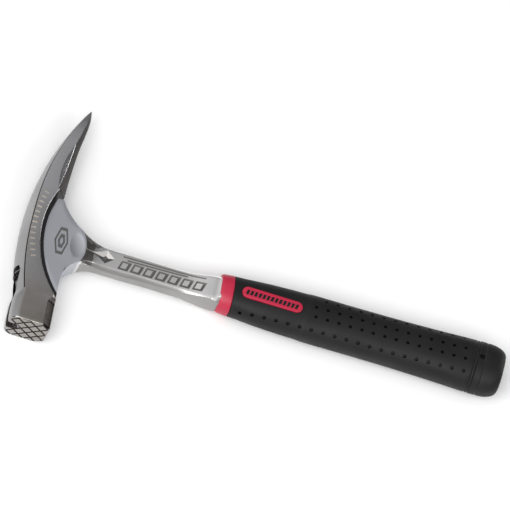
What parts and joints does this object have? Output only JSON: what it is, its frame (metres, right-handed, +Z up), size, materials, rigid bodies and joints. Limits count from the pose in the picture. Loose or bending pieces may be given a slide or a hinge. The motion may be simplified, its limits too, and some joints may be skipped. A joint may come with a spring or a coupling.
{
  "type": "roofing hammer",
  "caption": "Roofer's hammer with a curved steel head, milled square face, nail holder and pick spike, on a steel shank with a black cushioned grip and red collar.",
  "frame": {"origin": "centre of the bottom of the whole tool's box, as it lies on its side on a flat surface", "axes": "+X along the handle to the butt, +Y from the striking face towards the spike, +Z up across the tool's thickness"},
  "size_m": [0.3366, 0.1716, 0.027],
  "materials": {
    "head_steel": "forged steel, ground and polished under clear lacquer",
    "magnet": "dark plated magnet",
    "insert_elastomer": "smooth black elastomer",
    "pin_steel": "ground flush",
    "shank_steel": "satin foot and polished shank",
    "core_plastic": "moulded, hidden",
    "red_plastic": "semi-gloss moulded crimson",
    "grip_rubber": "matt soft grip with moulded dimples"
  },
  "bodies": {
    "root": {"head": "head_steel", "nail_magnet": "magnet", "damping_insert": "insert_elastomer", "head_pins": "pin_steel", "shank": "shank_steel", "grip_core": "core_plastic", "front_collar": "red_plastic", "grip_sleeve": "grip_rubber", "badge_front": "red_plastic", "badge_back": "red_plastic"}
  },
  "joints": []
}
